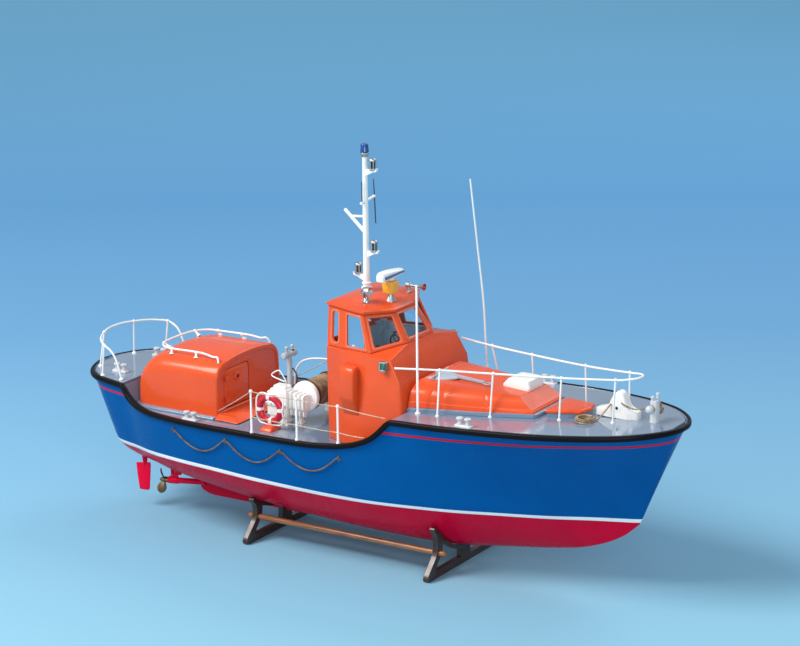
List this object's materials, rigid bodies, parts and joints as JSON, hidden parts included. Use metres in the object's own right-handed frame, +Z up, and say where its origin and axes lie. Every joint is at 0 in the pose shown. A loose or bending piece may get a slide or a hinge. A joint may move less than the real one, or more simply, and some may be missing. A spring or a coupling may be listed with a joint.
{
  "type": "model lifeboat on a two-trestle stand",
  "caption": "Static scale model of a steel motor lifeboat: blue hull, orange cabins, mast, rails, winch, twin screws and rudders, on a wooden trestle stand.",
  "frame": {"origin": "on the floor under the middle of the boat's length and breadth, at the foot of its stand", "axes": "+X to the bow, +Y to port, +Z up"},
  "size_m": [0.3418, 0.0966, 0.205],
  "materials": {
    "hull_paint": "gloss blue topsides over a white waterline stripe and a satin red bottom",
    "deck_paint": "gloss grey-blue deck paint",
    "strake_rubber": "satin black",
    "bottom_paint": "satin red bottom paint",
    "house_paint": "gloss signal orange",
    "white_paint": "white enamel",
    "grey_paint": "satin light grey",
    "yellow_paint": "satin yellow",
    "buoy_paint": "satin red with white bands",
    "beacon_lens": "glossy blue lens",
    "glazing": "clear thin sheet",
    "brass": "dulled brass",
    "silver_metal": "silver",
    "rope": "brown twisted thread",
    "dark_wood": "dark stained and varnished",
    "light_wood": "clear varnished"
  },
  "bodies": {
    "boat": {"hull": "hull_paint", "fore_deck": "deck_paint", "well_deck": "deck_paint", "stern_deck": "deck_paint", "rubbing_strake": "strake_rubber", "keel_skeg": "bottom_paint", "propeller_shaft_port": "bottom_paint", "propeller_shaft_starboard": "bottom_paint", "aft_cabin": "house_paint", "door_step": "house_paint", "aft_cabin_rail": "white_paint", "towing_bitt": "grey_paint", "winch_casing": "white_paint", "wheelhouse_body": "house_paint", "wheelhouse_windows": "house_paint", "wheelhouse_glazing": "glazing", "wheelhouse_roof": "house_paint", "helm_console": "grey_paint", "side_locker": "house_paint", "sidelight_port": "grey_paint", "sidelight_starboard": "grey_paint", "mast": "white_paint", "beacon": "beacon_lens", "searchlight": "silver_metal", "radar_gearbox": "yellow_paint", "horn": "silver_metal", "trunk_cabin": "house_paint", "vent_box": "white_paint", "anchor": "grey_paint", "fore_hatch": "house_paint", "windlass": "white_paint", "samson_post": "grey_paint", "rope_coil": "rope", "bow_rail": "white_paint", "stern_rail": "white_paint", "guard_rail_port": "white_paint", "guard_rail_starboard": "white_paint", "lifebuoy": "buoy_paint", "lifebuoy_chock": "house_paint", "bollard_aft_port": "grey_paint", "bollard_aft_starboard": "grey_paint", "bollard_fore_port": "grey_paint", "bollard_fore_starboard": "grey_paint", "bollard_stern_port": "grey_paint", "bollard_stern_starboard": "grey_paint", "grab_line_port": "rope", "grab_line_starboard": "rope", "pole_aerial": "white_paint", "whip_aerial": "white_paint", "stand_trestle_aft": "dark_wood", "stand_trestle_fore": "dark_wood", "stand_dowel_port": "light_wood", "stand_dowel_starboard": "light_wood"},
    "propeller_port": {"propeller_port": "brass"},
    "propeller_starboard": {"propeller_starboard": "brass"},
    "rudder_port": {"rudder_port": "bottom_paint"},
    "rudder_starboard": {"rudder_starboard": "bottom_paint"},
    "radar_scanner": {"radar_scanner": "white_paint"},
    "winch_drum": {"winch_drum": "rope"},
    "aft_cabin_door": {"aft_cabin_door": "house_paint"}
  },
  "joints": [
    {"name": "propeller_port_turn", "type": "hinge", "parent": "boat", "child": "propeller_port", "pos_m": [-0.1232, 0.014, 0.0172], "axis": [0.994, 0, 0.1093], "continuous": true},
    {"name": "propeller_starboard_turn", "type": "hinge", "parent": "boat", "child": "propeller_starboard", "pos_m": [-0.1232, -0.014, 0.0172], "axis": [0.994, 0, 0.1093], "continuous": true},
    {"name": "rudder_port_turn", "type": "hinge", "parent": "boat", "child": "rudder_port", "pos_m": [-0.1356, 0.014, 0.02], "axis": [0, 0, 1], "range_deg": [-35, 35]},
    {"name": "rudder_starboard_turn", "type": "hinge", "parent": "boat", "child": "rudder_starboard", "pos_m": [-0.1356, -0.014, 0.02], "axis": [0, 0, 1], "range_deg": [-35, 35]},
    {"name": "radar_turn", "type": "hinge", "parent": "boat", "child": "radar_scanner", "pos_m": [0.012, -0.0036, 0.1393], "axis": [0, 0, 1], "continuous": true},
    {"name": "winch_drum_turn", "type": "hinge", "parent": "boat", "child": "winch_drum", "pos_m": [-0.035, 0, 0.075], "axis": [0, 1, 0], "continuous": true},
    {"name": "aft_cabin_door_swing", "type": "hinge", "parent": "boat", "child": "aft_cabin_door", "pos_m": [-0.07625, -0.0206, 0.0644], "axis": [0, 0, -1], "range_deg": [0, 100]}
  ]
}
